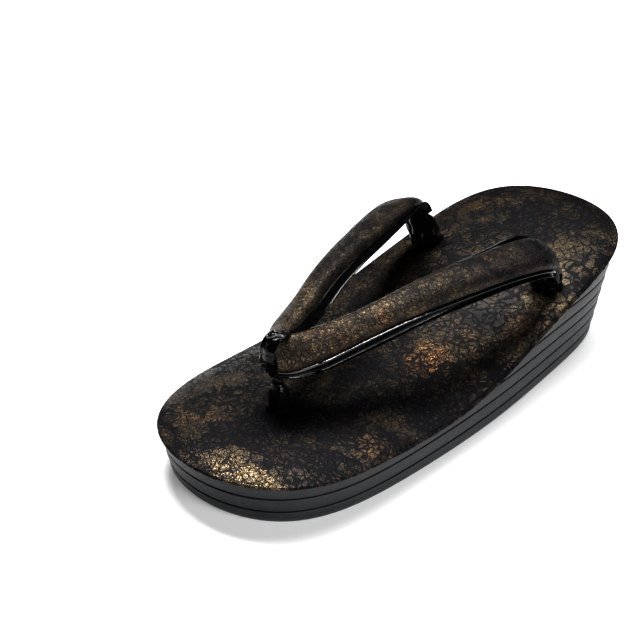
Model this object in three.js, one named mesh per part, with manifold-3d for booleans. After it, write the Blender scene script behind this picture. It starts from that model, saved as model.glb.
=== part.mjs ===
import * as THREE from 'three';
import { mergeVertices } from 'three/addons/utils/BufferGeometryUtils.js';
import Module from 'manifold-3d';

// Zori sandal: a moulded wedge sole with grooves round its side, a leather-covered insole,
// padded V-shaped straps with a glossy lining, and a toe post.
// Frame in millimetres: +Z up, toe towards -Y, X across, origin under the middle on the floor.

// Overall sizes
const LENGTH = 245;
const WIDTH = 96.6;
const GAP = 0.3;

// Outline seen from above, as fullness of a rounded oval along its angle from the toe
const OUTLINE = { toeWider: 0.067, flat: 0.334, toeBias: -0.033, square: 0.597, noseFull: -0.054, noseBias: -0.147 };
const OUTLINE_STEPS = 72;

// Side view of the tread surface: height of the insole's top along the length
const TOP_LINE = [
  { y: -135, z: 19.9 },
  { y: -122.5, z: 19.7 },
  { y: -98, z: 19.3 },
  { y: -73.5, z: 18.8 },
  { y: -49, z: 17.9 },
  { y: -24.5, z: 18.1 },
  { y: 0, z: 21.9 },
  { y: 24.5, z: 27.7 },
  { y: 49, z: 33.6 },
  { y: 73.5, z: 39.0 },
  { y: 98, z: 44.5 },
  { y: 122.5, z: 50.3 },
  { y: 135, z: 53.3 },
];
const TOP_STEPS = 40;

// Insole: a padded sheet wrapped over the sole's edge, thicker towards its middle
const INSOLE_THICK = 1.6;
const DOME = 3.6;
const DOME_POWER = 4;

// Sole side: stepped by five grooves, drawn in towards the floor, rounded under
const LAYER = 6.29;
const GROOVES = 5;
const GROOVE_WIDTH = 0.8;
const GROOVE_DEPTH = 0.9;
const SIDE_INSET = 1.2;
const TAPER = { side: 0.07, toe: 0.24, heel: 0.19 };
const FOOT_ROUND = 2.6;

// Holes in the insole and sole
const POST_HOLE = { x: 0, y: -77, radius: 4.7, depth: 7 };
const END_HOLE = { x: 31.6, y: 56.6, radius: 6.5, depth: 7 };

// Right strap from the toe joint to its back end: inner and outer edge of the leather face,
// height of the padded crown, level of the lining's inner fin against the inner edge,
// and how far its outer fin hangs below the outer edge
const STRAP = [
  { ix: -0.6, iy: -84.2, iz: 51.5, ox: 2.6, oy: -84.4, oz: 44.6, crown: 1.2, fin: -1.0, drop: 2.2 },
  { ix: -0.6, iy: -79.5, iz: 53.4, ox: 5.2, oy: -81.6, oz: 43.2, crown: 2.2, fin: -1.4, drop: 3.6 },
  { ix: 0.0, iy: -73.6, iz: 53.6, ox: 8.6, oy: -76.6, oz: 43.3, crown: 3.2, fin: -1.7, drop: 5.2 },
  { ix: 1.9, iy: -66.5, iz: 52.8, ox: 11.7, oy: -70.2, oz: 44.8, crown: 4.0, fin: -1.7, drop: 6.2 },
  { ix: 3.7, iy: -60.0, iz: 52.6, ox: 14.3, oy: -64.6, oz: 46.3, crown: 4.4, fin: -1.7, drop: 6.5 },
  { ix: 8.0, iy: -45.8, iz: 54.1, ox: 18.3, oy: -49.9, oz: 49.1, crown: 4.8, fin: -1.7, drop: 6.6 },
  { ix: 12.2, iy: -31.3, iz: 56.8, ox: 23.2, oy: -34.9, oz: 52.3, crown: 5.0, fin: -1.7, drop: 6.2 },
  { ix: 15.7, iy: -14.1, iz: 59.4, ox: 28.4, oy: -18.7, oz: 54.6, crown: 5.0, fin: -1.5, drop: 4.5 },
  { ix: 18.9, iy: 3.7, iz: 60.6, ox: 33.4, oy: -1.4, oz: 56.1, crown: 4.8, fin: -1.2, drop: 3.4 },
  { ix: 22.4, iy: 22.1, iz: 61.2, ox: 38.6, oy: 16.6, oz: 57.2, crown: 4.4, fin: -0.5, drop: 2.6 },
  { ix: 25.2, iy: 34.4, iz: 62.0, ox: 42.2, oy: 30.4, oz: 56.9, crown: 4.1, fin: -0.1, drop: 2.4 },
  { ix: 27.2, iy: 41.6, iz: 61.6, ox: 43.4, oy: 37.6, oz: 55.6, crown: 4.0, fin: -0.2, drop: 2.4 },
  { ix: 29.0, iy: 47.4, iz: 59.2, ox: 42.8, oy: 43.0, oz: 53.0, crown: 3.8, fin: -0.8, drop: 2.2 },
  { ix: 30.0, iy: 51.4, iz: 55.4, ox: 41.0, oy: 46.8, oz: 49.8, crown: 3.4, fin: -1.0, drop: 1.6 },
];
const STRAP_SUBSTEPS = 2;
const LEATHER = 1.6;
const LINING = 1.6;
const FIN = 1.8;

// Gathered end of the lining, from inside the strap's end down into its hole
const GATHER = [
  { x: 34.4, y: 41.6, z: 56.6, wide: 4.6, deep: 1.5 },
  { x: 34.9, y: 46.4, z: 53.8, wide: 5.2, deep: 2.1 },
  { x: 34.8, y: 50.6, z: 49.6, wide: 6.6, deep: 3.8 },
  { x: 34.0, y: 53.6, z: 45.4, wide: 6.8, deep: 5.2 },
  { x: 32.8, y: 55.6, z: 41.4, wide: 6.4, deep: 5.8 },
  { x: 31.8, y: 56.5, z: 37.4, wide: 5.8, deep: 5.8 },
  { x: 31.6, y: 56.6, z: 32.6, wide: 5.4, deep: 5.4 },
];
const GATHER_PLEATS = 8;
const PLEAT_DEPTH = 0.5;

// Loop round the joint of the straps, in the middle plane: centreline and half width
const LOOP = [
  { y: -78.6, z: 37.4, half: 2.4 },
  { y: -82.6, z: 41.2, half: 3.4 },
  { y: -85.8, z: 46.0, half: 4.0 },
  { y: -86.6, z: 50.6, half: 4.2 },
  { y: -85.2, z: 54.6, half: 4.2 },
  { y: -81.4, z: 56.5, half: 4.1 },
  { y: -76.6, z: 56.0, half: 3.4 },
  { y: -72.6, z: 53.2, half: 1.9 },
  { y: -71.4, z: 48.0, half: 1.4 },
  { y: -72.8, z: 42.8, half: 1.5 },
  { y: -75.4, z: 38.8, half: 1.9 },
];
const LOOP_THICK = 1.5;

// Post below the loop, from its neck down into the hole
const POST = [
  { y: -78.6, z: 38.4, radius: 1.6 },
  { y: -78.3, z: 36.6, radius: 2.1 },
  { y: -77.9, z: 34.6, radius: 1.8 },
  { y: -77.5, z: 32.6, radius: 2.8 },
  { y: -77.2, z: 29.0, radius: 3.6 },
  { y: -77.0, z: 24.0, radius: 4.1 },
  { y: -77.0, z: 16.0, radius: 4.1 },
];
const POST_SIDES = 16;

const wasm = await Module();
wasm.setup();

// A closed solid from a grid of rings, each ring a list of points in the same order
function ringSolid(rings, closedPath = false) {
  const size = rings[0].length;
  const vertices = rings.flat().flatMap((p) => [p.x, p.y, p.z]);
  const triangles = [];
  const spans = closedPath ? rings.length : rings.length - 1;
  for (let r = 0; r < spans; r += 1) {
    const next = (r + 1) % rings.length;
    for (let i = 0; i < size; i += 1) {
      const j = (i + 1) % size;
      triangles.push(r * size + i, r * size + j, next * size + j);
      triangles.push(r * size + i, next * size + j, next * size + i);
    }
  }
  if (!closedPath) {
    for (const [ring, flip] of [[0, true], [rings.length - 1, false]]) {
      const outline = capOutline(rings[ring]);
      for (const [a, b, c] of THREE.ShapeUtils.triangulateShape(outline.points, [])) {
        const corner = [a, b, c].map((k) => ring * size + k);
        if (outline.turned !== flip) corner.reverse();
        triangles.push(...corner);
      }
    }
  }
  return solidFrom(vertices, triangles);
}

// The ring's points in its own plane, and whether they run clockwise there
function capOutline(ring) {
  const centre = ring.reduce((sum, p) => sum.add(p), new THREE.Vector3()).divideScalar(ring.length);
  const normal = new THREE.Vector3();
  ring.forEach((p, i) => {
    const q = ring[(i + 1) % ring.length];
    normal.add(p.clone().sub(centre).cross(q.clone().sub(centre)));
  });
  normal.normalize();
  const side = ring[0].clone().sub(centre);
  side.addScaledVector(normal, -side.dot(normal)).normalize();
  const up = normal.clone().cross(side);
  const points = ring.map((p) => {
    const d = p.clone().sub(centre);
    return new THREE.Vector2(d.dot(side), d.dot(up));
  });
  return { points, turned: THREE.ShapeUtils.isClockWise(points) };
}

// A solid whose faces point out, whichever way its rings ran
function solidFrom(vertices, triangles) {
  let volume = 0;
  const at = (k) => new THREE.Vector3(vertices[3 * k], vertices[3 * k + 1], vertices[3 * k + 2]);
  for (let t = 0; t < triangles.length; t += 3) {
    volume += at(triangles[t]).dot(at(triangles[t + 1]).cross(at(triangles[t + 2])));
  }
  if (volume < 0) triangles.reverse();
  return new wasm.Manifold(new wasm.Mesh({
    numProp: 3,
    vertProperties: new Float32Array(vertices),
    triVerts: new Uint32Array(triangles),
  }));
}

function solidOf(geometry) {
  const plain = geometry.clone();
  plain.deleteAttribute('normal');
  plain.deleteAttribute('uv');
  const merged = mergeVertices(plain, 1e-4);
  return solidFrom([...merged.attributes.position.array], [...merged.index.array]);
}

// The largest body of a solid, without slivers that a cut leaves
function mainBody(solid) {
  return solid.decompose().sort((a, b) => b.volume() - a.volume())[0];
}

function geometryOf(solid) {
  const mesh = solid.getMesh();
  const geometry = new THREE.BufferGeometry();
  const positions = new Float32Array(mesh.numVert * 3);
  for (let v = 0; v < mesh.numVert; v += 1) {
    for (let k = 0; k < 3; k += 1) positions[3 * v + k] = mesh.vertProperties[mesh.numProp * v + k];
  }
  geometry.setAttribute('position', new THREE.BufferAttribute(positions, 3));
  geometry.setIndex(new THREE.BufferAttribute(new Uint32Array(mesh.triVerts), 1));
  geometry.computeVertexNormals();
  return geometry;
}

// Smooth value of a table's column between its rows
function smooth(p0, p1, p2, p3, t) {
  const a = -0.5 * p0 + 1.5 * p1 - 1.5 * p2 + 0.5 * p3;
  const b = p0 - 2.5 * p1 + 2 * p2 - 0.5 * p3;
  const c = -0.5 * p0 + 0.5 * p2;
  return ((a * t + b) * t + c) * t + p1;
}

function refine(table, substeps, closed = false) {
  const rows = [];
  const last = closed ? table.length : table.length - 1;
  const pick = (k) => (closed
    ? table[(k + table.length) % table.length]
    : table[Math.min(Math.max(k, 0), table.length - 1)]);
  for (let k = 0; k < last; k += 1) {
    for (let s = 0; s < substeps; s += 1) {
      const row = {};
      for (const key of Object.keys(table[0])) {
        row[key] = smooth(pick(k - 1)[key], pick(k)[key], pick(k + 1)[key], pick(k + 2)[key], s / substeps);
      }
      rows.push(row);
    }
  }
  if (!closed) rows.push({ ...table[table.length - 1] });
  return rows;
}

function topHeight(y) {
  let k = 1;
  while (k < TOP_LINE.length - 3 && y > TOP_LINE[k + 1].y) k += 1;
  const t = (y - TOP_LINE[k].y) / (TOP_LINE[k + 1].y - TOP_LINE[k].y);
  return smooth(TOP_LINE[k - 1].z, TOP_LINE[k].z, TOP_LINE[k + 1].z, TOP_LINE[k + 2].z, t);
}

// Outline point at an angle from the toe, with its outward direction
function outlineAt(angle) {
  const point = (a) => {
    const c = Math.cos(a);
    const s = Math.sin(a);
    const width = 1 + OUTLINE.toeWider * c + OUTLINE.flat * c ** 2 + OUTLINE.toeBias * c ** 3 + OUTLINE.square * c ** 4;
    const length = c + OUTLINE.noseFull * s * s + OUTLINE.noseBias * s * s * c;
    return new THREE.Vector2((WIDTH / 2) * s * width, (-LENGTH / 2) * length);
  };
  const along = point(angle + 1e-3).sub(point(angle - 1e-3)).normalize();
  return { point: point(angle), out: new THREE.Vector2(along.y, -along.x), c: Math.cos(angle) };
}

const OUTLINE_POINTS = Array.from({ length: OUTLINE_STEPS }, (_, k) => outlineAt((2 * Math.PI * k) / OUTLINE_STEPS));

// A ring round the outline, moved in by an inset and at a height, both given per point
function outlineRing(place) {
  return OUTLINE_POINTS.map((o) => {
    const { inset, z } = place(o);
    return new THREE.Vector3(o.point.x - o.out.x * inset, o.point.y - o.out.y * inset, z);
  });
}

// A block across the whole width between two heights that follow the tread surface
function surfaceBlock(lowOffset, highOffset) {
  const low = [];
  const high = [];
  for (let k = 0; k <= TOP_STEPS; k += 1) {
    const y = -LENGTH / 2 - 4 + ((LENGTH + 8) * k) / TOP_STEPS;
    low.push(new THREE.Vector2(y, lowOffset === null ? -10 : topHeight(y) + lowOffset));
    high.push(new THREE.Vector2(y, topHeight(y) + highOffset));
  }
  const shape = new THREE.Shape([...low, ...high.reverse()]);
  const block = new THREE.ExtrudeGeometry(shape, { depth: WIDTH + 30, bevelEnabled: false });
  block.translate(0, 0, -(WIDTH + 30) / 2);
  block.applyMatrix4(new THREE.Matrix4().makeBasis(
    new THREE.Vector3(0, 1, 0),
    new THREE.Vector3(0, 0, 1),
    new THREE.Vector3(1, 0, 0),
  ));
  return solidOf(block);
}

function roundPeg({ x, y, radius }, zLow, zHigh, sides = 28) {
  const peg = new THREE.CylinderGeometry(radius, radius, zHigh - zLow, sides);
  peg.rotateX(Math.PI / 2);
  peg.translate(x, y, (zLow + zHigh) / 2);
  return solidOf(peg);
}

function holes(extra = 0) {
  const all = [
    { ...POST_HOLE, radius: POST_HOLE.radius + extra },
    { ...END_HOLE, radius: END_HOLE.radius + extra },
    { ...END_HOLE, x: -END_HOLE.x, radius: END_HOLE.radius + extra },
  ];
  return all
    .map((h) => roundPeg(h, topHeight(h.y) - h.depth, topHeight(h.y) + 12))
    .reduce((sum, peg) => sum.add(peg));
}

// Sole: rings up the side, drawn in with depth, with a step at every groove
function sideInset(o, z) {
  const under = topHeight(o.point.y) - INSOLE_THICK - z;
  const toe = TAPER.side + (TAPER.toe - TAPER.side) * Math.max(o.c, 0) ** 2;
  const taper = toe + (TAPER.heel - TAPER.side) * Math.max(-o.c, 0) ** 2;
  const foot = FOOT_ROUND * (1 + 0.5 * Math.max(o.c, 0) ** 2);
  const rise = Math.min(z / foot, 1);
  return SIDE_INSET + taper * Math.max(under, 0) + foot * 0.6 * (1 - Math.sqrt(1 - (1 - rise) ** 2));
}

function makeSole() {
  const levels = [[0, 0], [0.6, 0], [1.6, 0], [3.2, 0]];
  for (let g = 1; g <= GROOVES; g += 1) {
    const z = g * LAYER;
    levels.push([z - GROOVE_WIDTH / 2, 0], [z, GROOVE_DEPTH], [z + GROOVE_WIDTH / 2, 0]);
  }
  levels.push([42, 0], [60, 0]);
  const rings = levels.map(([z, deep]) => outlineRing((o) => ({ inset: sideInset(o, z) + deep, z })));
  const body = ringSolid(rings).intersect(surfaceBlock(null, -INSOLE_THICK - GAP));
  return mainBody(body.subtract(holes()));
}

// Insole: rounded at its wrapped edge, domed above, cut to the sole's top below
const INSOLE_EDGE = [
  { inset: 1.6, z: -INSOLE_THICK - 3 },
  { inset: 0.9, z: -INSOLE_THICK + 0.02 },
  { inset: 0.25, z: -INSOLE_THICK + 0.25 },
  { inset: 0.0, z: -0.95 },
  { inset: 0.2, z: -0.45 },
  { inset: 0.8, z: -0.1 },
];
const INSOLE_RINGS = [0.96, 0.88, 0.78, 0.64, 0.44, 0.2];

function insoleHeight(y, share) {
  return topHeight(y) + DOME * (1 - share ** DOME_POWER);
}

function makeInsole() {
  const low = outlineRing(() => ({ inset: 1.6, z: -10 }));
  const edge = INSOLE_EDGE.map(({ inset, z }) => outlineRing((o) => ({ inset, z: topHeight(o.point.y) + z })));
  const top = INSOLE_RINGS.map((share) => OUTLINE_POINTS.map((o) => {
    const y = o.point.y * share;
    return new THREE.Vector3(o.point.x * share, y, insoleHeight(y, share));
  }));
  const slab = ringSolid([low, ...edge, ...top]).intersect(surfaceBlock(-INSOLE_THICK, 20));
  return mainBody(slab.subtract(holes()));
}

// Stations of a strap: edge points, direction along, direction across and direction out of the face
function strapStations(substeps) {
  const rows = refine(STRAP, substeps);
  const stations = rows.map((row) => ({
    ...row,
    inner: new THREE.Vector3(row.ix, row.iy, row.iz),
    outer: new THREE.Vector3(row.ox, row.oy, row.oz),
  }));
  stations.forEach((s, k) => {
    const before = stations[Math.max(k - 1, 0)];
    const after = stations[Math.min(k + 1, stations.length - 1)];
    const along = after.inner.clone().add(after.outer).sub(before.inner).sub(before.outer).normalize();
    s.across = s.outer.clone().sub(s.inner);
    s.width = s.across.length();
    s.across.normalize();
    s.face = s.across.clone().cross(along).normalize();
  });
  return stations;
}

function sectionPoint(station, across, face) {
  return station.inner.clone().addScaledVector(station.across, across).addScaledVector(station.face, face);
}

// Leather face: a padded arch with a real wall, open underneath
const ARCH_STEPS = 8;
const ARCH_POWER = 0.78;

function leatherRing(station) {
  const arch = (inset) => Array.from({ length: ARCH_STEPS + 1 }, (_, k) => {
    const a = (Math.PI * k) / ARCH_STEPS;
    const c = Math.cos(a);
    const half = station.width / 2;
    const across = half - Math.sign(c) * Math.abs(c) ** ARCH_POWER * (half - inset);
    const face = Math.sin(a) ** ARCH_POWER * Math.max(station.crown - inset, 0.4);
    return sectionPoint(station, across, face);
  });
  return [...arch(0), ...arch(Math.min(LEATHER, station.width / 5)).reverse()];
}

// Lining: a band under the face, with a fin along each edge and a deeper outer side near the toe
function liningRing(station) {
  const w = station.width;
  const d = station.drop;
  const fin = Math.min(FIN, w / 5);
  const section = [
    { across: 0.2, face: -GAP },
    { across: -0.5 * fin, face: 0.6 * station.fin },
    { across: -fin, face: station.fin - 0.2 },
    { across: 0.1 * fin, face: Math.min(station.fin - 1.2, -2.0) },
    { across: 0.35 * w, face: -2.8 - 0.35 * (d - 2) - 0.8 },
    { across: w, face: -d - 1.0 },
    { across: w + fin, face: -d - 0.6 },
    { across: w + fin, face: -d },
    { across: w + 0.4 * fin, face: -0.45 * d - 0.6 },
    { across: w - 0.2, face: -GAP },
    { across: w - LINING, face: -GAP },
    { across: w - LINING, face: Math.min(-d + 1.0, -GAP - 0.5) },
    { across: 0.45 * w, face: -1.5 - 0.45 * (d - 2) },
    { across: LINING, face: -1.2 },
    { across: LINING, face: -GAP },
  ];
  return section.map((p) => sectionPoint(station, p.across, p.face));
}

function mirrored(solid) {
  return solid.mirror([1, 0, 0]);
}

// Rings across a path, each with its own directions
function gatherRings() {
  const rows = refine(GATHER, 1);
  const points = rows.map((r) => new THREE.Vector3(r.x, r.y, r.z));
  const sides = GATHER_PLEATS * 3;
  return rows.map((row, k) => {
    const along = points[Math.min(k + 1, rows.length - 1)].clone().sub(points[Math.max(k - 1, 0)]).normalize();
    const across = new THREE.Vector3(0.94, -0.34, 0);
    across.addScaledVector(along, -across.dot(along)).normalize();
    const back = along.clone().cross(across);
    const pleat = PLEAT_DEPTH * Math.min(1, row.deep / 5);
    return Array.from({ length: sides }, (_, i) => {
      const a = (2 * Math.PI * i) / sides;
      const fold = i % 3 === 0 ? -pleat : 0;
      return points[k].clone()
        .addScaledVector(across, (row.wide + fold) * Math.cos(a))
        .addScaledVector(back, (row.deep + fold) * Math.sin(a));
    });
  });
}

function loopSolid(grow) {
  const rows = refine(LOOP, 2, true);
  const rings = rows.map((row, k) => {
    const before = rows[(k + rows.length - 1) % rows.length];
    const after = rows[(k + 1) % rows.length];
    const along = new THREE.Vector3(0, after.y - before.y, after.z - before.z).normalize();
    const out = new THREE.Vector3(0, -along.z, along.y);
    const half = row.half + grow;
    const thick = LOOP_THICK / 2 + grow;
    const section = [[1, 0], [0.93, 0.75], [0.6, 1], [-0.6, 1], [-0.93, 0.75], [-1, 0], [-0.93, -0.75], [0, -1], [0.93, -0.75]];
    return section.map(([a, b]) => new THREE.Vector3(a * half, row.y, row.z).addScaledVector(out, b * thick));
  });
  return ringSolid(rings, true);
}

function postSolid() {
  const rings = refine(POST, 2).map((row) => Array.from({ length: POST_SIDES }, (_, i) => {
    const a = (2 * Math.PI * i) / POST_SIDES;
    return new THREE.Vector3(row.radius * Math.cos(a), row.y + row.radius * Math.sin(a), row.z);
  }));
  return ringSolid(rings);
}

function makeUpper() {
  const right = ringSolid(strapStations(STRAP_SUBSTEPS).map(leatherRing));
  return mainBody(right.add(mirrored(right)).subtract(loopSolid(GAP)));
}

function makeLining(upper) {
  const band = ringSolid(strapStations(STRAP_SUBSTEPS).map(liningRing));
  const right = band.add(ringSolid(gatherRings()));
  const room = upper.add(upper.translate([0, 0, -0.1])).add(upper.translate([0, 0, 0.1]));
  return mainBody(right.add(mirrored(right)).subtract(loopSolid(GAP)).subtract(room));
}

function makePost() {
  return mainBody(loopSolid(0).add(postSolid()));
}

const upperSolid = makeUpper();

const PIECES = [
  { name: 'sole', solid: makeSole(), color: 0x1d1d1f, roughness: 0.6, metalness: 0 },
  { name: 'insole', solid: makeInsole(), color: 0x2a211a, roughness: 0.5, metalness: 0.2 },
  { name: 'upper', solid: upperSolid, color: 0x33281e, roughness: 0.5, metalness: 0.2 },
  { name: 'strap_lining', solid: makeLining(upperSolid), color: 0x060606, roughness: 0.15, metalness: 0 },
  { name: 'toe_post', solid: makePost(), color: 0x060606, roughness: 0.15, metalness: 0 },
];

const sandal = new THREE.Group();
for (const piece of PIECES) {
  const material = new THREE.MeshStandardMaterial({
    color: piece.color,
    roughness: piece.roughness,
    metalness: piece.metalness,
  });
  const mesh = new THREE.Mesh(geometryOf(piece.solid), material);
  mesh.name = piece.name;
  sandal.add(mesh);
}

export default sandal;
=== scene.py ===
import math

import bmesh
import bpy
from mathutils import Matrix, Vector, noise


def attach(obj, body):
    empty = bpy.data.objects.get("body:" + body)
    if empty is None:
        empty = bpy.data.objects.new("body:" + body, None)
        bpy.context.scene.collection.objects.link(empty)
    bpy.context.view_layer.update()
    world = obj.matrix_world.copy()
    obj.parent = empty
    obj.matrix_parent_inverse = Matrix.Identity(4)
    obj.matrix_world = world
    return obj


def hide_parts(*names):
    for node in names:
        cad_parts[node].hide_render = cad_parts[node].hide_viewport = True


# Zori sandal: grooved moulded sole, crackled leather insole, padded V-shaped straps with a
# patent lining and gathered ends, and a patent toe loop with its post.
# Shapes are worked out in millimetres in the frame of the solids and scaled at the end.

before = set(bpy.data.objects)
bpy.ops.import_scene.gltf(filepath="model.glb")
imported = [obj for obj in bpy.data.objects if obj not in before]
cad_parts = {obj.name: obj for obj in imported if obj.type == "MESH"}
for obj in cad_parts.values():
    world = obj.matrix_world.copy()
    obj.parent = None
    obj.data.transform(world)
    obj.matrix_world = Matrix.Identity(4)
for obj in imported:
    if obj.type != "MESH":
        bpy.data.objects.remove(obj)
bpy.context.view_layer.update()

MM = 0.001
LENGTH = 245.0
WIDTH = 96.6
GAP = 0.3

# Outline seen from above, as shares of the half width and the half length
OUTLINE = {"toe_wider": 0.067, "flat": 0.334, "toe_bias": -0.033, "square": 0.597,
           "nose_full": -0.054, "nose_bias": -0.147}
AROUND = 400

# Height of the insole's edge along the length: y, z
TOP_LINE = [(-135, 19.9), (-122.5, 19.7), (-98, 19.3), (-73.5, 18.8), (-49, 17.9), (-24.5, 18.1),
            (0, 21.9), (24.5, 27.7), (49, 33.6), (73.5, 39.0), (98, 44.5), (122.5, 50.3), (135, 53.3)]

# Insole: its thickness, the share of the outline where its top starts, its dome, the padding that
# thickens to toe and heel, and the dip round each hole
INSOLE_THICK = 1.6
TOP_START = 0.976
DOME = 3.6
DOME_POWER = 4
PADDING = 0.3
PADDING_AT_ENDS = 1.8
PADDING_REACH = 8
DIP = 0.9
DIP_REACH = 3.2

# Sole: height of a layer, number of grooves, inset under the insole, lean of the sides, round foot
LAYER = 6.29
GROOVES = 5
SIDE_INSET = 1.2
TAPER = {"side": 0.07, "toe": 0.24, "heel": 0.19}
FOOT_ROUND = 2.6

# Holes in the insole: x, y, radius, and their depths
POST_HOLE = (0.0, -77.0, 4.7)
END_HOLE = (31.6, 56.6, 6.5)
POST_HOLE_DEPTH = 3.4
END_HOLE_DEPTH = 2.6

# Right strap from the toe joint back: inner edge, outer edge, crown, inner fin level, outer drop
STRAP = [
    (-0.6, -84.2, 51.5, 2.6, -84.4, 44.6, 1.2, -1.0, 2.2),
    (-0.6, -79.5, 53.4, 5.2, -81.6, 43.2, 2.2, -1.4, 3.6),
    (0.0, -73.6, 53.6, 8.6, -76.6, 43.3, 3.2, -2.6, 5.2),
    (1.9, -66.5, 52.8, 11.7, -70.2, 44.8, 4.0, -3.0, 6.2),
    (3.7, -60.0, 52.6, 14.3, -64.6, 46.3, 4.4, -3.0, 6.5),
    (8.0, -45.8, 54.1, 18.3, -49.9, 49.1, 4.8, -3.0, 6.6),
    (12.2, -31.3, 56.8, 23.2, -34.9, 52.3, 5.0, -2.8, 6.2),
    (15.7, -14.1, 59.4, 28.4, -18.7, 54.6, 5.0, -2.4, 4.5),
    (18.9, 3.7, 60.6, 33.4, -1.4, 56.1, 4.8, -1.6, 3.4),
    (22.4, 22.1, 61.2, 38.6, 16.6, 57.2, 4.4, -0.2, 2.6),
    (25.2, 34.4, 62.0, 42.2, 30.4, 56.9, 4.1, 0.7, 2.4),
    (27.2, 41.6, 61.6, 43.4, 37.6, 55.6, 4.0, 0.8, 2.4),
    (29.0, 47.4, 59.2, 42.8, 43.0, 53.0, 3.8, 0.0, 2.2),
    (30.0, 51.4, 55.4, 40.4, 47.0, 49.4, 3.4, -1.0, 1.6),
    (30.2, 53.0, 52.6, 38.6, 49.2, 47.2, 2.8, -1.0, 1.4),
]
# Straps: wall of the leather and of the lining, reach of the outer fin, roundness, stitching level
LEATHER = 1.6
LINING = 1.6
FIN = 1.8
ARCH_POWER = 0.78
STITCH_DROP = 0.28

# Where the strap's pieces start along its first row, inside the loop, and how finely each is drawn.
# The lining ends some stations before the leather and goes on as its gathered end.
FRONT = 0.7
LEATHER_STEPS = 12
LINING_STEPS = 10
LINING_SHORT = 8
MIDDLE_GAP = 0.03
MERGE = 0.004
MERGE_LAST = 0.006

# Gathered end of the lining: centre, half width, half depth
GATHER = [
    (33.8, 41.6, 56.4, 4.4, 1.4),
    (33.6, 46.0, 54.0, 5.4, 2.2),
    (33.4, 49.8, 50.2, 6.4, 3.6),
    (32.8, 52.8, 46.0, 7.0, 5.0),
    (32.2, 54.6, 41.8, 6.9, 5.9),
    (31.6, 55.4, 37.4, 6.5, 6.2),
    (31.4, 55.8, 34.2, 6.2, 6.2),
]
GATHER_ACROSS = (0.94, -0.34, 0)

# Loop round the joint, in the middle plane: y, z, half width
LOOP = [
    (-78.6, 37.4, 2.2), (-81.2, 41.0, 2.9), (-83.4, 45.6, 3.4), (-84.0, 50.0, 3.6),
    (-82.8, 53.4, 3.7), (-79.9, 55.4, 3.7), (-76.2, 55.3, 3.2), (-72.8, 53.0, 2.0),
    (-71.6, 48.0, 1.4), (-72.8, 42.8, 1.5), (-75.4, 38.8, 1.9),
]
LOOP_THICK = 1.3

# Post under the loop: y, z, radius
POST = [
    (-78.6, 38.4, 1.6), (-78.3, 36.6, 2.1), (-77.9, 34.9, 1.9), (-77.5, 33.2, 2.9),
    (-77.2, 30.4, 3.75), (-77.0, 24.0, 4.05), (-77.0, 18.2, 4.2),
]
DULL_BELOW = 33.5

# Camera fitted to the photograph, in metres, and the lights: place, target, size, power
CAMERA_PLACE = (0.292883, -0.398289, 0.296085)
CAMERA_RIGHT = (0.76108, 0.64866, 0)
CAMERA_UP = (-0.30797, 0.36134, 0.88012)
CAMERA_AHEAD = (-0.57090, 0.66984, -0.47477)
CAMERA_ROLL = 0.0239
CAMERA_LENS = 76.33
LIGHTS = {
    "key": ((-0.256, -0.012, 0.54), (0.0, -0.09, 0.02), (0.13, 0.13), 2.3),
    "top": ((-0.16, 0.36, 1.05), (0, 0, 0), (0.70, 0.60), 12.5),
    "side": ((1.0, -0.20, 0.46), (0, 0, 0.03), (0.6, 0.12), 7),
}
WORLD_STRENGTH = 0.03
FLOOR_HALF = 6


# Smooth curve through four values, at a share of the way from the second to the third
def smooth(p0, p1, p2, p3, t):
    a = -0.5 * p0 + 1.5 * p1 - 1.5 * p2 + 0.5 * p3
    b = p0 - 2.5 * p1 + 2 * p2 - 0.5 * p3
    c = -0.5 * p0 + 0.5 * p2
    return ((a * t + b) * t + c) * t + p1


# A table with smooth rows added between its own
def refine(table, substeps, closed=False):
    last = len(table) if closed else len(table) - 1

    def pick(k):
        if closed:
            return table[k % len(table)]
        return table[min(max(k, 0), len(table) - 1)]

    rows = []
    for k in range(last):
        for s in range(substeps):
            group = zip(pick(k - 1), pick(k), pick(k + 1), pick(k + 2))
            rows.append(tuple(smooth(*four, s / substeps) for four in group))
    if not closed:
        rows.append(tuple(float(v) for v in table[-1]))
    return rows


def top_height(y):
    k = 1
    while k < len(TOP_LINE) - 3 and y > TOP_LINE[k + 1][0]:
        k += 1
    t = (y - TOP_LINE[k][0]) / (TOP_LINE[k + 1][0] - TOP_LINE[k][0])
    return smooth(TOP_LINE[k - 1][1], TOP_LINE[k][1], TOP_LINE[k + 1][1], TOP_LINE[k + 2][1], t)


def clamp(value, low=0.0, high=1.0):
    return min(max(value, low), high)


def ease(value):
    v = clamp(value)
    return v * v * (3 - 2 * v)


def wave(x, y, z, size):
    return noise.noise(Vector((x / size, y / size, z / size)))


# Outline seen from above, by angle from the toe
def outline_point(angle):
    c = math.cos(angle)
    s = math.sin(angle)
    wide = (1 + OUTLINE["toe_wider"] * c + OUTLINE["flat"] * c ** 2 + OUTLINE["toe_bias"] * c ** 3
            + OUTLINE["square"] * c ** 4)
    far = c + OUTLINE["nose_full"] * s * s + OUTLINE["nose_bias"] * s * s * c
    return Vector((WIDTH / 2 * s * wide, -LENGTH / 2 * far, 0))


def outline_steps():
    steps = []
    for k in range(AROUND):
        angle = 2 * math.pi * k / AROUND
        along = (outline_point(angle + 1e-3) - outline_point(angle - 1e-3)).normalized()
        steps.append((outline_point(angle), Vector((along.y, -along.x, 0)), math.cos(angle)))
    return steps


STEPS = outline_steps()


def outline_ring(place):
    ring = []
    for point, out, c in STEPS:
        inset, z = place(point, c)
        spot = point - out * inset
        ring.append(Vector((spot.x, spot.y, z)))
    return ring


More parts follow.
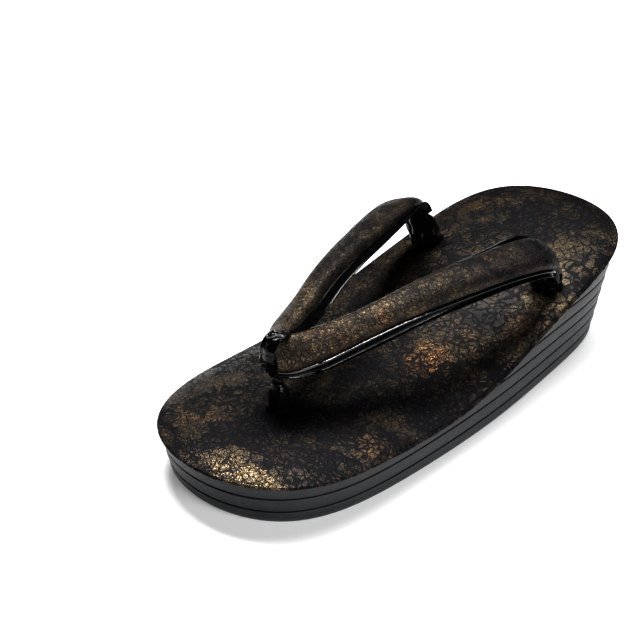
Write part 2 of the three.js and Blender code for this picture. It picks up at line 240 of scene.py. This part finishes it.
# Draws a loop of edges out once; gives the new vertices and the new loop
def draw_out(bm, edges):
    made = bmesh.ops.extrude_edge_only(bm, edges=edges)["geom"]
    fresh = {g for g in made if isinstance(g, bmesh.types.BMVert)}
    loop = [g for g in made if isinstance(g, bmesh.types.BMEdge)
            and g.verts[0] in fresh and g.verts[1] in fresh]
    return fresh, loop


# Draws a loop of vertices out from ring to ring and closes both ends
def loft(rings, closed=False):
    bm = bmesh.new()
    place = bm.verts.layers.int.new("place")
    circle = bmesh.ops.create_circle(bm, cap_ends=False, segments=len(rings[0]), radius=1.0)
    for k, vertex in enumerate(circle["verts"]):
        vertex[place] = k
        vertex.co = rings[0][k]
    first = list(bm.edges)
    edges = first
    for ring in rings[1:]:
        fresh, edges = draw_out(bm, edges)
        for vertex in fresh:
            vertex.co = ring[vertex[place]]
    if closed:
        bmesh.ops.bridge_loops(bm, edges=first + edges)
    else:
        open_edges = [e for e in bm.edges if e.is_boundary]
        caps = bmesh.ops.holes_fill(bm, edges=open_edges, sides=0)["faces"]
        bmesh.ops.triangulate(bm, faces=caps)
    return bm


# Cleans a shape, brings it to metres and makes it the piece that stands for a node
def finish_piece(bm, name, node, material, sharp):
    bmesh.ops.remove_doubles(bm, verts=bm.verts, dist=MERGE_LAST)
    bmesh.ops.dissolve_degenerate(bm, edges=bm.edges, dist=0.003)
    loose = [v for v in bm.verts if not v.link_faces]
    bmesh.ops.delete(bm, geom=loose, context="VERTS")
    bmesh.ops.recalc_face_normals(bm, faces=bm.faces)
    bmesh.ops.scale(bm, vec=(MM, MM, MM), verts=bm.verts)
    for face in bm.faces:
        face.smooth = True
    mesh = bpy.data.meshes.new(name)
    bm.to_mesh(mesh)
    bm.free()
    mesh.set_sharp_from_angle(angle=math.radians(sharp))
    piece = bpy.data.objects.new(name, mesh)
    bpy.context.scene.collection.objects.link(piece)
    mesh.materials.append(material)
    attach(piece, "root")
    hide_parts(node)
    return piece


# Cuts a strap off beside the middle plane and closes the cut
def cut_at_middle(bm):
    bmesh.ops.remove_doubles(bm, verts=bm.verts, dist=MERGE)
    cut = bmesh.ops.bisect_plane(bm, geom=list(bm.verts) + list(bm.edges) + list(bm.faces),
                                 plane_co=(MIDDLE_GAP, 0, 0), plane_no=(-1, 0, 0), clear_outer=True)
    edges = [g for g in cut["geom_cut"] if isinstance(g, bmesh.types.BMEdge)]
    bmesh.ops.holes_fill(bm, edges=edges, sides=0)


def mirror_over(bm):
    whole = list(bm.verts) + list(bm.edges) + list(bm.faces)
    bmesh.ops.mirror(bm, geom=whole, axis="X", merge_dist=0.0)


def join_into(bm, other):
    mesh = bpy.data.meshes.new("part")
    other.to_mesh(mesh)
    other.free()
    bm.from_mesh(mesh)
    bpy.data.meshes.remove(mesh)


# Sole side: layers with a slight swell between thin grooves
def side_inset(point, c, z):
    under = top_height(point.y) - INSOLE_THICK - z
    toe = TAPER["side"] + (TAPER["toe"] - TAPER["side"]) * max(c, 0) ** 2
    taper = toe + (TAPER["heel"] - TAPER["side"]) * max(-c, 0) ** 2
    foot = FOOT_ROUND * (1 + 0.5 * max(c, 0) ** 2)
    rise = min(z / foot, 1)
    swell = 0.14 * math.cos(2 * math.pi * (z / LAYER - 0.5))
    return SIDE_INSET + taper * max(under, 0) + foot * 0.6 * (1 - math.sqrt(1 - (1 - rise) ** 2)) - swell


# Section of a groove: height from its middle, depth
GROOVE_PROFILE = [(-0.5, 0.0), (-0.4, 0.06), (-0.3, 0.3), (-0.1, 0.84), (0.0, 0.9),
                  (0.1, 0.84), (0.3, 0.3), (0.4, 0.06), (0.5, 0.0)]
FOOT_LEVELS = (0, 0.15, 0.4, 0.8, 1.3, 2.0, 2.8, 3.6, 4.8)
LAYER_LEVELS = (0.2, 0.35, 0.5, 0.65, 0.8)
ABOVE_LEVELS = (45, 50)


def make_sole(material):
    levels = [(z, 0) for z in FOOT_LEVELS]
    for g in range(1, GROOVES + 2):
        z = g * LAYER
        if g <= GROOVES:
            levels += [(z + dz, deep) for dz, deep in GROOVE_PROFILE]
        levels += [(z + LAYER * part, 0) for part in LAYER_LEVELS]
    levels += [(z, 0) for z in ABOVE_LEVELS]

    def level_ring(z, deep):
        def place(point, c):
            roof = top_height(point.y) - INSOLE_THICK - GAP
            height = min(z, roof)
            fade = ease((roof - z) / 0.5)
            return side_inset(point, c, height) + deep * fade, height
        return outline_ring(place)

    def roof_ring(share):
        return [Vector((p.x * share, p.y * share, top_height(p.y * share) - INSOLE_THICK - GAP))
                for p in side_rings[-1]]

    floor_rings = [[p.xy.to_3d() * share for p in level_ring(0, 0)] for share in (0.3, 0.9)]
    side_rings = [level_ring(z, deep) for z, deep in levels]
    rings = floor_rings + side_rings + [roof_ring(share) for share in (0.95, 0.6, 0.3)]
    return finish_piece(loft(rings), "grooved_sole", "sole", material, sharp=50)


# Insole: padded sheet with a rounded wrapped edge and a dip round each hole
INSOLE_EDGE = [(1.3, -1.6), (0.75, -1.58), (0.4, -1.48), (0.15, -1.28), (0.02, -1.02), (0.0, -0.8),
               (0.06, -0.56), (0.22, -0.34), (0.48, -0.17), (0.85, -0.07)]


def dip_at(x, y):
    dip = 0.0
    for hx, hy, radius in (POST_HOLE, END_HOLE, (-END_HOLE[0], END_HOLE[1], END_HOLE[2])):
        away = math.hypot(x - hx, y - hy)
        dip += DIP * math.exp(-(max(away - radius, 0) / DIP_REACH) ** 2)
    return dip


def make_insole(material):
    def under(share):
        return [Vector((p.x * share, p.y * share, top_height(p.y * share) - INSOLE_THICK))
                for p, _, _ in STEPS]

    def edge(inset, z):
        return outline_ring(lambda point, c: (inset, top_height(point.y) + z))

    def top(share):
        ring = []
        for p, _, _ in STEPS:
            x = p.x * share
            y = p.y * share
            z = top_height(y) + DOME * (1 - share ** DOME_POWER) - dip_at(x, y)
            padding = PADDING + PADDING_AT_ENDS * (2 * p.y / LENGTH) ** 2
            z += padding * (1 - math.exp(-p.length * (TOP_START - share) / PADDING_REACH))
            soft = ease((1 - share) / 0.08)
            z += soft * (0.16 * wave(x, y, 3, 17) + 0.05 * wave(x, y, 9, 5))
            ring.append(Vector((x, y, z)))
        return ring

    rings = [under(share) for share in (0.2, 0.3, 0.4, 0.5, 0.6, 0.7, 0.8, 0.88)]
    rings += [edge(inset, z) for inset, z in INSOLE_EDGE]
    shares = [TOP_START, 0.968] + [0.958 - 0.0125 * k for k in range(76)]
    rings += [top(share) for share in shares if share > 0.01]
    bm = loft(rings)
    cut_hole(bm, POST_HOLE, POST_HOLE_DEPTH)
    for side in (1, -1):
        cut_hole(bm, (side * END_HOLE[0], END_HOLE[1], END_HOLE[2]), END_HOLE_DEPTH)
    return finish_piece(bm, "leather_insole", "insole", material, sharp=60)


# A round pocket: the faces inside go, the rim is drawn round and then down
def cut_hole(bm, hole, depth):
    hx, hy, radius = hole

    def away(co):
        return math.hypot(co.x - hx, co.y - hy)

    def in_top(co):
        return away(co) < radius and co.z > top_height(co.y) - 0.9

    inside = [f for f in bm.faces if in_top(f.calc_center_median())]
    bmesh.ops.delete(bm, geom=inside, context="FACES")
    rim = [e for e in bm.edges if e.is_boundary and away(e.verts[0].co) < radius * 1.5]
    for vertex in {v for e in rim for v in e.verts}:
        scale = radius / away(vertex.co)
        vertex.co.x = hx + (vertex.co.x - hx) * scale
        vertex.co.y = hy + (vertex.co.y - hy) * scale
    edges = rim
    # each step: how far down, and the share of the radius that is left
    for drop, draw in ((0.25, 0.97), (0.6, 0.95), (depth - 0.85, 0.95), (0, 0.1)):
        fresh, edges = draw_out(bm, edges)
        for vertex in fresh:
            vertex.co.x = hx + (vertex.co.x - hx) * draw
            vertex.co.y = hy + (vertex.co.y - hy) * draw
            vertex.co.z -= drop
    bmesh.ops.holes_fill(bm, edges=edges, sides=0)


# Strap stations with their own directions: along, across and out of the face
def strap_stations(substeps):
    rows = refine(STRAP, substeps)[round(FRONT * substeps):]
    inner = [Vector(r[0:3]) for r in rows]
    outer = [Vector(r[3:6]) for r in rows]
    stations = []
    for k, row in enumerate(rows):
        before = max(k - 1, 0)
        after = min(k + 1, len(rows) - 1)
        along = (inner[after] + outer[after] - inner[before] - outer[before]).normalized()
        across = outer[k] - inner[k]
        width = across.length
        across = across.normalized()
        face = across.cross(along).normalized()
        stations.append({"inner": inner[k], "across": across, "face": face, "width": width,
                         "crown": row[6], "fin": row[7], "drop": row[8],
                         "share": k / (len(rows) - 1)})
    return stations


def section_point(station, across, face):
    return station["inner"] + station["across"] * across + station["face"] * face


# Section of the leather face: a dome outside, and the same dome inside it
def leather_ring(station):
    width = station["width"]
    half = width / 2
    wall = min(LEATHER, width / 5)
    share = station["share"]
    base = station["inner"]

    def arch(inset, steps):
        points = []
        for k in range(steps + 1):
            a = math.pi * k / steps
            c = math.cos(a)
            across = half - math.copysign(abs(c) ** ARCH_POWER, c) * (half - inset)
            face = math.sin(a) ** ARCH_POWER * max(station["crown"] - inset, 0.4)
            if inset == 0:
                spot = base + station["across"] * across
                lump = 0.22 * wave(spot.x, spot.y, spot.z, 13) + 0.1 * wave(spot.x, spot.y, spot.z, 6)
                crease = ease((share - 0.86) / 0.1) * 0.22 * math.sin(across * 1.3 + share * 30)
                face += (lump + crease) * math.sin(a)
            points.append(section_point(station, across, face))
        return points

    foot_out = section_point(station, width - wall * 0.45, -STITCH_DROP)
    foot_in = section_point(station, wall * 0.45, -STITCH_DROP)
    return arch(0, 36) + [foot_out] + list(reversed(arch(wall, 18))) + [foot_in]


def make_upper(material):
    bm = loft([leather_ring(s) for s in strap_stations(LEATHER_STEPS)])
    cut_at_middle(bm)
    mirror_over(bm)
    piece = finish_piece(bm, "strap_leather", "upper", material, sharp=55)
    return piece


# Points of the lining's section that are pressed smooth: its upper bead and its inner fin
POLISHED = {*range(83, 89), *range(13, 23)}


# Section of the lining, in points across and out of the face: inner fin, underside, outer fin,
# band and bead, then back under the leather
def lining_ring(station):
    w = station["width"]
    d = station["drop"]
    f = station["fin"]
    fin = min(FIN, w / 5)
    k = min(1, w / 12)
    section = [
        (0.1, -0.25), (-0.5 * k, 0.35 * f - 0.4), (-1.2 * k, 0.7 * f - 0.35), (-1.8 * k, f - 0.3),
        (-2.3 * k, f + 0.15), (-2.7 * k, f - 0.1), (-2.5 * k, f - 0.6), (-1.0 * k, min(f - 1.1, -1.6)),
        (0.1 * fin, min(f - 1.2, -2.0) - 0.4),
        (0.35 * w, -3.6 - 0.35 * (d - 2)), (0.7 * w, -3.4 - 0.7 * (d - 2)), (w - 0.3, -d - 0.9),
        (w + 0.5 * fin, -d - 0.7), (w + fin, -d - 0.35), (w + fin + 0.1, -d - 0.1),
        (w + fin - 0.1, -d + 0.08), (w + 0.6 * fin, -d + 0.25), (w + 0.35, -d + 0.9),
        (w + 0.2, -0.62 * d), (w + 0.45, -0.38 * d - 0.6),
        (w + 0.9, -1.15), (w + 1.0, -0.7), (w + 0.35, -0.18), (w - 0.2, -0.22),
        (w - LINING, -GAP), (w - LINING, min(-d + 1.0, -GAP - 0.5)), (0.6 * w, -1.6 - 0.6 * (d - 2)),
        (0.3 * w, -1.5 - 0.3 * (d - 2)), (LINING, -1.2), (LINING, -GAP),
    ]
    points = refine(section, 4, closed=True)
    return [section_point(station, across, face) for across, face in points]


# Rings of the gathered end, with pleats that turn as they go down
def gather_rings():
    rows = refine(GATHER, 10)
    centres = [Vector(r[0:3]) for r in rows]
    rings = []
    sides = 120
    for k, row in enumerate(rows):
        t = k / (len(rows) - 1)
        along = (centres[min(k + 1, len(rows) - 1)] - centres[max(k - 1, 0)]).normalized()
        across = Vector(GATHER_ACROSS)
        across = (across - along * across.dot(along)).normalized()
        back = along.cross(across)
        deep = 1.5 * min(1, row[4] / 5)
        ring = []
        for i in range(sides):
            a = 2 * math.pi * i / sides
            twist = a + 0.5 * t + 0.12 * math.sin(2 * a + 3 * t)
            pleat = abs(math.sin(3.5 * twist + 0.9 * math.sin(2 * a + 2 + 2.5 * t)))
            crumple = wave(centres[k].x + 7 * math.cos(a), 7 * math.sin(a), centres[k].z, 3.2)
            fold = deep * ((1 - pleat) ** 1.2 - 0.25 + 0.5 * crumple * math.sin(math.pi * clamp(t * 1.2)))
            ring.append(centres[k] + across * ((row[3] - fold) * math.cos(a))
                        + back * ((row[4] - fold) * math.sin(a)))
        rings.append(ring)
    return rings


def make_lining(material):
    bm = loft([lining_ring(s) for s in strap_stations(LINING_STEPS)[:-LINING_SHORT]])
    place = bm.verts.layers.int["place"]
    edge = bm.verts.layers.float.new("edge")
    for vertex in bm.verts:
        vertex[edge] = 1.0 if vertex[place] in POLISHED else 0.0
    cut_at_middle(bm)
    join_into(bm, loft(gather_rings()))
    mirror_over(bm)
    return finish_piece(bm, "patent_lining", "strap_lining", material, sharp=60)


def loop_rings():
    rows = refine(LOOP, 8, closed=True)
    rings = []
    around = 40
    for k, (y, z, half) in enumerate(rows):
        before = rows[k - 1]
        after = rows[(k + 1) % len(rows)]
        along = Vector((0, after[0] - before[0], after[1] - before[1])).normalized()
        out = Vector((0, -along.z, along.y))
        t = 2 * math.pi * k / len(rows)
        ring = []
        for i in range(around):
            a = 2 * math.pi * i / around
            c = math.cos(a)
            s = math.sin(a)
            wide = math.copysign(abs(c) ** 0.75, c) * half
            thick = math.copysign(abs(s) ** 0.7, s) * LOOP_THICK / 2
            crease = 0.24 * math.sin(wide * 1.1 + 9 * math.sin(t) + 2 * math.sin(3 * t)) * ease(abs(s) * 1.5)
            crumple = 0.42 * wave(wide * 0.8 + 7, y, z, 2.4)
            centre = Vector((0, y, z))
            lift = thick + (crease + crumple) * (1 if s > 0 else 0.2)
            ring.append(centre + Vector((wide + 0.2 * wave(y, z, 5, 3), 0, 0)) + out * lift)
        rings.append(ring)
    return rings


def post_rings():
    rows = refine(POST, 8)
    rings = []
    around = 48
    for k, (y, z, radius) in enumerate(rows):
        t = k / (len(rows) - 1)
        ring = []
        for i in range(around):
            a = 2 * math.pi * i / around
            fold = 0.05 * math.sin(5 * a + 2 * t) * (1 - t) + 0.05 * math.sin(3 * a + 5 * t)
            r = radius * (1 + fold + 0.05 * wave(math.cos(a) * 3, math.sin(a) * 3, z, 2.0))
            ring.append(Vector((r * math.cos(a), y + r * math.sin(a), z)))
        rings.append(ring)
    return rings


def make_post(material):
    bm = loft(loop_rings(), closed=True)
    join_into(bm, loft(post_rings()))
    return finish_piece(bm, "toe_loop", "toe_post", material, sharp=70)


# Materials: a small helper that adds nodes and links
class Finish:
    def __init__(self, name):
        self.material = bpy.data.materials.new(name)
        self.material.use_nodes = True
        self.tree = self.material.node_tree
        self.tree.nodes.clear()
        out = self.tree.nodes.new("ShaderNodeOutputMaterial")
        self.shader = self.tree.nodes.new("ShaderNodeBsdfPrincipled")
        self.tree.links.new(self.shader.outputs[0], out.inputs[0])
        coords = self.tree.nodes.new("ShaderNodeTexCoord")
        self.mm = self.scaled(coords.outputs["Object"], (1000, 1000, 1000))

    def link(self, value, socket):
        if isinstance(value, bpy.types.NodeSocket):
            self.tree.links.new(value, socket)
        else:
            socket.default_value = value

    def node(self, kind, inputs=None, **settings):
        made = self.tree.nodes.new(kind)
        for key, value in settings.items():
            setattr(made, key, value)
        for key, value in (inputs or {}).items():
            self.link(value, made.inputs[key])
        return made

    def scaled(self, vector, scale, turn=(0, 0, 0)):
        inputs = {"Vector": vector, "Scale": scale, "Rotation": turn}
        return self.node("ShaderNodeMapping", inputs).outputs[0]

    def axis(self, number):
        return self.node("ShaderNodeSeparateXYZ", {0: self.mm}).outputs[number]

    def noise(self, vector, scale, detail=4, rough=0.55, distort=0.0, colour=False):
        made = self.node("ShaderNodeTexNoise", {"Vector": vector, "Scale": scale, "Detail": detail,
                                                "Roughness": rough, "Distortion": distort})
        return made.outputs["Color" if colour else "Fac"]

    def voronoi(self, vector, scale, feature="F1"):
        made = self.node("ShaderNodeTexVoronoi", {"Vector": vector, "Scale": scale}, feature=feature)
        return made.outputs["Distance"]

    def math(self, operation, a, b, bound=False):
        return self.node("ShaderNodeMath", {0: a, 1: b}, operation=operation, use_clamp=bound).outputs[0]

    def plus(self, a, b):
        return self.math("ADD", a, b)

    def times(self, a, b):
        return self.math("MULTIPLY", a, b)

    def less(self, a, b):
        return self.math("SUBTRACT", a, b)

    def most(self, a, b):
        return self.math("MAXIMUM", a, b)

    def vector(self, operation, a, b):
        return self.node("ShaderNodeVectorMath", {0: a, 1: b}, operation=operation).outputs[0]

    def step(self, value, low, high, out_low=0.0, out_high=1.0):
        return self.node("ShaderNodeMapRange", {"Value": value, "From Min": low, "From Max": high,
                                                "To Min": out_low, "To Max": out_high},
                         interpolation_type="SMOOTHSTEP").outputs[0]

    def mix(self, share, a, b):
        made = self.node("ShaderNodeMix", data_type="RGBA", clamp_factor=True)
        self.link(share, made.inputs[0])
        self.link(a, made.inputs[6])
        self.link(b, made.inputs[7])
        return made.outputs[2]

    def warp(self, vector, scale, amount):
        shift = self.vector("SUBTRACT", self.noise(vector, scale, 3, colour=True), (0.5, 0.5, 0.5))
        return self.vector("ADD", vector, self.vector("MULTIPLY", shift, (amount, amount, amount)))

    def patch(self, centre, reach):
        place = self.vector("SUBTRACT", self.warp(self.mm, 0.08, 14), (*centre, 0))
        away = self.vector("MULTIPLY", place, (1 / reach[0], 1 / reach[1], 0))
        length = self.node("ShaderNodeVectorMath", {0: away}, operation="LENGTH").outputs[1]
        return self.step(length, 0.45, 1.0, 1.0, 0.0)

    def bump(self, height, strength, distance, under=None):
        inputs = {"Height": height, "Strength": strength, "Distance": distance}
        if under is not None:
            inputs["Normal"] = under
        return self.node("ShaderNodeBump", inputs).outputs[0]

    def set(self, **inputs):
        for key, value in inputs.items():
            self.link(value, self.shader.inputs[key.replace("_", " ")])


def rgb(r, g, b):
    return (r, g, b, 1.0)


# Crack lines between cells; spread widens them until only dark leather is left
def crack_lines(f, vector, scale, spread, soft=0.05):
    edge = f.voronoi(vector, scale, feature="DISTANCE_TO_EDGE")
    return f.math("SUBTRACT", 1.0, f.step(edge, spread, f.math("ADD", spread, soft)), bound=True)


# Painted highlight along the insole's toe edge, where the metal stays bright and the dark clouds are left
# out: centre, reach
TOE_HIGHLIGHT_PATCH = ((17, -114), (30, 10))
# Copper-toned places, partly the leather's own tone and partly painted light: centre, reach, strength
COPPER_AND_PAINTED_LIGHT = [((19, -10), (14, 15), 1.0), ((37, 27), (7, 10), 0.5), ((39, -69), (10, 11), 0.55)]

GOLD = rgb(0.37, 0.272, 0.155)
COPPER = rgb(0.60, 0.325, 0.135)
SHADED_METAL = rgb(0.016, 0.015, 0.011)
DIM_STRAP = rgb(0.020, 0.015, 0.009)
DIM_TONE = rgb(0.05, 0.042, 0.036)
DIM_SPECK = rgb(0.03, 0.026, 0.022)
PEBBLE_GAP = rgb(0.012, 0.010, 0.009)
DARK_LEATHER = rgb(0.006, 0.0065, 0.010)
CRACK = rgb(0.0035, 0.0035, 0.005)


# Metallic leather with dark clouds, cracks in three sizes and a fine pebble.
# The insole has a painted highlight at the toe, copper places partly brightened as painted light and larger
# cells at the heel; the straps have painted light at the front and painted shade towards the back.
def crackled_leather(name, on_insole):
    f = Finish(name)
    base = f.warp(f.warp(f.mm, 0.09, 8.0), 0.42, 1.6)
    clouds = f.noise(f.warp(f.mm, 0.03, 16), 0.034, 6, 0.66, 0.9)
    patches = f.noise(f.vector("ADD", f.mm, (70, 20, 9)), 0.085, 5, 0.65, 0.5)
    dark = f.step(f.plus(f.times(clouds, 0.6), f.times(patches, 0.4)), 0.40, 0.58)
    if on_insole:
        # painted highlight at the toe: the dark clouds are taken out there
        toe_highlight = f.patch(*TOE_HIGHLIGHT_PATCH)
        dark = f.times(dark, f.less(1.0, toe_highlight))
    else:
        # painted shade: the dark clouds on the strap grow towards its back
        dark = f.times(dark, f.plus(0.45, f.times(f.step(f.axis(1), -55, 10), 0.55)))

    fine = crack_lines(f, base, 0.36, f.step(dark, 0.0, 1.0, 0.008, 0.085), 0.08)
    wide = crack_lines(f, base, 0.16, f.step(dark, 0.1, 1.0, 0.006, 0.05), 0.04)
    hair = crack_lines(f, f.warp(f.mm, 0.6, 1.6), 0.85, 0.01, 0.10)
    size = 2.1 if on_insole else 2.4
    pebble = f.step(f.voronoi(f.warp(f.mm, 1.2, 0.5), size, feature="DISTANCE_TO_EDGE"), 0.04, 0.24)
    if on_insole:
        turned = f.scaled(base, (1.0, 0.6, 1.0), (0, 0, 0.7))
        cells = crack_lines(f, turned, 0.19, f.step(dark, 0.0, 1.0, 0.008, 0.07), 0.05)
        heel = f.step(f.axis(1), 0, 55)
        fine = f.plus(f.times(fine, f.less(1.0, heel)), f.times(cells, heel))
    strong = 1.0 if on_insole else 0.8
    cracks = f.most(f.times(fine, 0.95 * strong), f.times(wide, 0.97 * strong))
    cracks = f.most(cracks, f.times(hair, 0.45))

    copper = f.step(f.noise(f.vector("ADD", f.mm, (40, 11, 3)), 0.03, 4, 0.6, 0.6), 0.56, 0.70)
    if on_insole:
        copper = f.times(copper, 0.3)
        # copper places brightened as painted light: they keep the metal bright and thin the dark clouds
        for centre, reach, share in COPPER_AND_PAINTED_LIGHT:
            copper_and_light = f.times(f.patch(centre, reach), share)
            copper = f.most(copper, copper_and_light)
            dark = f.times(dark, f.less(1.0, f.times(copper_and_light, 0.8)))
        lit = f.most(toe_highlight, copper)
    else:
        # painted light on the strap's front, fading to painted shade towards its back
        lit = f.step(f.axis(1), 0, 40, 1.0, 0.0)
    metal = f.mix(copper, GOLD, COPPER)
    # painted shade: outside the lit places the metal is dimmed
    metal = f.mix(lit, f.mix(0.58, metal, SHADED_METAL), metal)
    if not on_insole:
        metal = f.mix(0.28, metal, DIM_STRAP)
    tone = f.noise(f.mm, 0.16, 4, 0.7)
    metal = f.mix(f.step(tone, 0.3, 0.7), f.mix(0.75, metal, DIM_TONE), metal)
    speck = f.noise(f.mm, 1.9, 2, 0.65)
    metal = f.mix(f.step(speck, 0.36, 0.64), f.mix(0.6, metal, DIM_SPECK), metal)
    if on_insole:
        pebble = f.most(pebble, f.times(heel, 0.65))
    metal = f.mix(pebble, f.mix(0.85, metal, PEBBLE_GAP), metal)
    metal = f.mix(f.times(dark, 0.80), metal, DARK_LEATHER)
    colour = f.mix(cracks, metal, CRACK)

    grain = f.bump(pebble, 0.45, 0.00012)
    grain = f.bump(f.noise(f.mm, 2.6, 2, 0.7), 0.5, 0.00012, grain)
    lines = f.bump(f.less(1.0, cracks), 0.5, 0.00018, grain)
    rough = f.plus(f.step(speck, 0.2, 0.8, 0.19, 0.29), f.times(cracks, 0.25))
    f.set(Base_Color=colour, Metallic=f.less(0.96, f.times(cracks, 0.96)),
          Roughness=rough, Normal=lines, Specular_IOR_Level=f.step(cracks, 0.2, 0.9, 0.4, 0.1))
    return f.material


# Black gloss with folds; the edge attribute marks what is pressed smooth, and low parts are dull
def patent(name, crumple, dull_below, shine):
    f = Finish(name)
    smear = f.noise(f.mm, 0.5, 3)
    colour = f.mix(f.step(smear, 0.3, 0.7), rgb(0.002, 0.002, 0.0024), rgb(0.005, 0.005, 0.006))
    peel = f.bump(f.noise(f.mm, 0.9, 2), 0.12, 0.0004)
    folds = f.bump(f.noise(f.warp(f.mm, 0.3, 2.5), 0.55, 3), crumple, 0.0006, peel)
    dull = f.step(f.axis(2), dull_below - 1.5, dull_below + 0.5, 1.0, 0.0)
    edge = f.node("ShaderNodeAttribute", attribute_name="edge").outputs["Fac"]
    rough = f.plus(f.step(f.noise(f.mm, 1.8, 3), 0.3, 0.75, 0.05, 0.13), f.times(dull, 0.35))
    rough = f.times(rough, f.step(edge, 0.2, 0.8, 1.0, 0.5))
    gloss = f.most(f.step(dull, 0.0, 1.0, shine, 0.05), f.step(edge, 0.3, 0.9, 0.0, 0.85))
    f.set(Base_Color=colour, Roughness=rough, Normal=folds, Specular_IOR_Level=gloss)
    return f.material


# Charcoal sole with a fine grain, dust at the foot and dark grooves
def moulded_sole(name):
    f = Finish(name)
    grain = f.noise(f.mm, 2.4, 3, 0.7)
    blotch = f.noise(f.mm, 0.05, 4)
    colour = f.mix(f.step(blotch, 0.3, 0.7), rgb(0.012, 0.013, 0.014), rgb(0.018, 0.019, 0.021))
    colour = f.mix(f.step(grain, 0.5, 0.75), colour, rgb(0.050, 0.053, 0.058))
    level = f.axis(2)
    low = f.step(level, 0.0, 2.4, 1.0, 0.0)
    dusty = f.times(low, f.step(f.noise(f.mm, 0.4, 4), 0.4, 0.7))
    colour = f.mix(f.times(dusty, 0.25), colour, rgb(0.06, 0.058, 0.056))
    turn = f.math("PINGPONG", f.math("DIVIDE", level, LAYER), 0.5)
    groove = f.times(f.step(turn, 0.035, 0.07, 1.0, 0.0), f.step(level, 2.0, 3.0))
    colour = f.mix(groove, colour, rgb(0.001, 0.001, 0.001))
    skin = f.bump(f.voronoi(f.mm, 1.9), 0.35, 0.0003)
    skin = f.bump(grain, 0.5, 0.00035, skin)
    f.set(Base_Color=colour, Roughness=f.step(grain, 0.2, 0.8, 0.40, 0.58), Normal=skin,
          Specular_IOR_Level=0.4)
    return f.material


def floor_finish(name):
    f = Finish(name)
    tone = f.noise(f.mm, 0.01, 2)
    f.set(Base_Color=f.mix(tone, rgb(0.86, 0.86, 0.865), rgb(0.88, 0.88, 0.882)), Roughness=0.7,
          Specular_IOR_Level=0.1, Emission_Color=rgb(1, 1, 1), Emission_Strength=0.20)
    return f.material


# Lights, floor, camera and world
def area_light(name, place, target, size, power):
    data = bpy.data.lights.new(name, "AREA")
    data.shape = "RECTANGLE"
    data.size, data.size_y = size
    data.energy = power
    lamp = bpy.data.objects.new(name, data)
    lamp.location = place
    lamp.rotation_euler = (Vector(target) - Vector(place)).to_track_quat("-Z", "Y").to_euler()
    bpy.context.scene.collection.objects.link(lamp)


def make_floor():
    bm = bmesh.new()
    bmesh.ops.create_grid(bm, x_segments=1, y_segments=1, size=FLOOR_HALF)
    mesh = bpy.data.meshes.new("floor")
    bm.to_mesh(mesh)
    bm.free()
    floor = bpy.data.objects.new("floor", mesh)
    bpy.context.scene.collection.objects.link(floor)
    mesh.materials.append(floor_finish("pale_floor"))


def make_camera():
    right = Vector(CAMERA_RIGHT)
    up = Vector(CAMERA_UP)
    ahead = Vector(CAMERA_AHEAD)
    side = (right * math.cos(CAMERA_ROLL) + up * math.sin(CAMERA_ROLL)).normalized()
    top = (up * math.cos(CAMERA_ROLL) - right * math.sin(CAMERA_ROLL)).normalized()
    data = bpy.data.cameras.new("camera")
    data.sensor_width = 36
    data.lens = CAMERA_LENS
    data.clip_start = 0.01
    camera = bpy.data.objects.new("camera", data)
    turn = Matrix((side, top, -ahead)).transposed().to_4x4()
    camera.matrix_world = Matrix.Translation(CAMERA_PLACE) @ turn
    bpy.context.scene.collection.objects.link(camera)
    bpy.context.scene.camera = camera


def make_world():
    world = bpy.data.worlds.new("studio")
    world.use_nodes = True
    back = world.node_tree.nodes["Background"]
    back.inputs[0].default_value = (1, 1, 1, 1)
    back.inputs[1].default_value = WORLD_STRENGTH
    bpy.context.scene.world = world


make_sole(moulded_sole("charcoal_sole"))
make_insole(crackled_leather("crackled_insole_leather", True))
make_upper(crackled_leather("crackled_strap_leather", False))
make_lining(patent("patent_lining_gloss", 0.12, 0, 0.15))
make_post(patent("patent_loop_gloss", 0.8, DULL_BELOW, 0.24))
make_floor()
make_camera()
make_world()
for light, settings in LIGHTS.items():
    area_light(light, *settings)
bpy.context.scene.view_settings.view_transform = "Standard"
bpy.context.scene.view_settings.look = "High Contrast"
